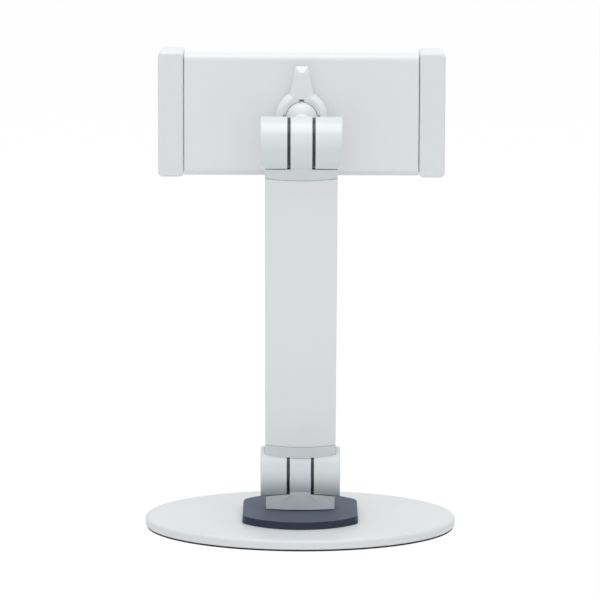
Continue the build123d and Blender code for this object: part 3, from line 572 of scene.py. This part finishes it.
# %% Two plugs on each hinge
half_turn = Matrix.Rotation(math.pi, 4, "Z")
for hinge, body in (("lower", "column"), ("upper", "yoke")):
    name = hinge + "_barrel_plugs"
    low, high = box_of(name)
    middle = (low + high) / 2
    plug = dished_plug((high.z - low.z) / 2)
    pair = bmesh.new()
    add_copy(pair, plug, Matrix.Translation((high.x, middle.y, middle.z)))
    add_copy(pair, plug, Matrix.Translation((low.x, middle.y, middle.z)) @ half_turn)
    plug.free()
    finish_piece(name + "_dished", pair, cap_coat, body, "cap_aluminium", name)

# %% [markdown]
# ## Sheet under the base
# The black line under the rim is the edge of a rubber sheet. Its underside is moulded with rings,
# which hold the desk better than a flat sheet. A circle is scaled to an ellipse and given its
# thickness. Then its underside is inset ring by ring: one inset sinks the face a little, a flat
# one makes the groove's floor, and the next lifts the face again.

# %% Ringed sheet
ring_count = 5
ring_land, groove_wall, groove_floor, groove_depth = 0.0045, 0.0004, 0.0016, 0.00035
ring_insets = ((ring_land, 0.0), (groove_wall, -groove_depth), (groove_floor, 0.0),
               (groove_wall, groove_depth))

low, high = box_of("nonslip_pad")
sheet = bmesh.new()
bmesh.ops.create_circle(sheet, cap_ends=True, segments=128, radius=1.0)
half_size = ((high.x - low.x) / 2, (high.y - low.y) / 2, 1.0)
bmesh.ops.scale(sheet, vec=half_size, verts=sheet.verts)
bmesh.ops.translate(sheet, vec=(0, 0, high.z), verts=sheet.verts)
pushed = bmesh.ops.extrude_face_region(sheet, geom=list(sheet.faces))
moved = [part for part in pushed["geom"] if isinstance(part, bmesh.types.BMVert)]
bmesh.ops.translate(sheet, vec=(0, 0, low.z - high.z), verts=moved)
bmesh.ops.recalc_face_normals(sheet, faces=sheet.faces)  # an inset's depth follows the normal
under = min(sheet.faces, key=lambda face: face.calc_center_median().z)
for thickness, depth in ring_insets * ring_count:
    bmesh.ops.inset_region(sheet, faces=[under], thickness=thickness, depth=depth,
                           use_even_offset=True)
finish_piece("nonslip_pad_ringed", sheet, rubber_black, "base", "black_rubber", "nonslip_pad")

# %% [markdown]
# ## Studio
# The photograph has a white ground with no horizon. A white floor alone would turn grey where the
# light falls off. So the floor here is pale, and for the camera it adds a glow of its own: it
# reads as white while the soft contact shadow stays. The world does the same, white to look at
# and dimmer as a light. The Light Path node tells the two kinds of ray apart.

# %% Rays that look, and rays that light
def looking_rays(tree):
    """1 for rays from the camera, off a gloss or through glass, and 0 for rays that light."""
    rays = add(tree, "ShaderNodeLightPath")
    direct = calculate(tree, "MAXIMUM", (rays, "Is Camera Ray"), (rays, "Is Glossy Ray"))
    return calculate(tree, "MAXIMUM", (direct, 0), (rays, "Is Transmission Ray"))


def mix_to_output(tree, factor, lighting, looking, output_kind):
    """Show one shader to the rays that light, and the other by a factor."""
    mixed = add(tree, "ShaderNodeMixShader")
    join(tree, factor, 0, mixed, "Fac")
    join(tree, lighting, 0, mixed, 1)
    join(tree, looking, 0, mixed, 2)
    join(tree, mixed, 0, add(tree, output_kind), "Surface")


# %% Floor
floor_drop = 0.0001  # below the sheet, so that the two faces don't flicker
glow_share = 0.92  # the rest of the floor takes the shadow

floor_mesh = bpy.data.meshes.new("floor")
floor_builder = bmesh.new()
bmesh.ops.create_grid(floor_builder, x_segments=1, y_segments=1, size=6.0)
bmesh.ops.translate(floor_builder, vec=(0, 0, -floor_drop), verts=floor_builder.verts)
floor_builder.to_mesh(floor_mesh)
floor_builder.free()
floor = bpy.data.objects.new("floor", floor_mesh)
scene.collection.objects.link(floor)

floor_material = bpy.data.materials.new("floor_white")
floor_material.use_nodes = True
tree = floor_material.node_tree
tree.nodes.clear()
plain = add(tree, "ShaderNodeBsdfDiffuse", Color=(0.88, 0.88, 0.88, 1.0))
glow = add(tree, "ShaderNodeEmission", Color=(1.0, 1.0, 1.0, 1.0), Strength=1.03)
share = calculate(tree, "MULTIPLY", (looking_rays(tree), 0), glow_share)
mix_to_output(tree, share, plain, glow, "ShaderNodeOutputMaterial")
floor_mesh.materials.append(floor_material)
print("floor:", len(floor_mesh.polygons), "face,", len(tree.nodes), "nodes")

# %% World
world = bpy.data.worlds.new("studio")
scene.world = world
world.use_nodes = True
tree = world.node_tree
tree.nodes.clear()
room = add(tree, "ShaderNodeBackground", Color=(0.98, 0.99, 1.0, 1.0), Strength=0.58)
white = add(tree, "ShaderNodeBackground", Color=(1.0, 1.0, 1.0, 1.0), Strength=1.0)
mix_to_output(tree, looking_rays(tree), room, white, "ShaderNodeOutputWorld")
print("world:", len(tree.nodes), "nodes")

# %% [markdown]
# ## Lamps
# The highlights on the hinge barrels and the jaw tops show one large soft light overhead, a little
# towards the camera. Sun or point lamps would draw hard shadows, which the photograph doesn't have,
# so the lamps are square areas. A weak second one behind the camera lifts the fronts.

# %% Lamps
def soft_box(name, place, target, size, power):
    """A square area lamp that looks at a point."""
    data = bpy.data.lights.new(name, "AREA")
    data.size = size
    data.energy = power
    lamp = bpy.data.objects.new(name, data)
    scene.collection.objects.link(lamp)
    look = (Vector(target) - Vector(place)).to_track_quat("-Z", "Y")
    lamp.matrix_world = Matrix.Translation(place) @ look.to_matrix().to_4x4()
    print(name, size, "m,", power, "W")


soft_box("overhead_box", (0.0, -0.35, 1.7), (0.0, 0.0, 0.1), 1.4, 14.0)
soft_box("fill_box", (0.0, -1.8, 0.45), (0.0, 0.0, 0.15), 1.2, 2.5)
scene.view_settings.view_transform = "Standard"
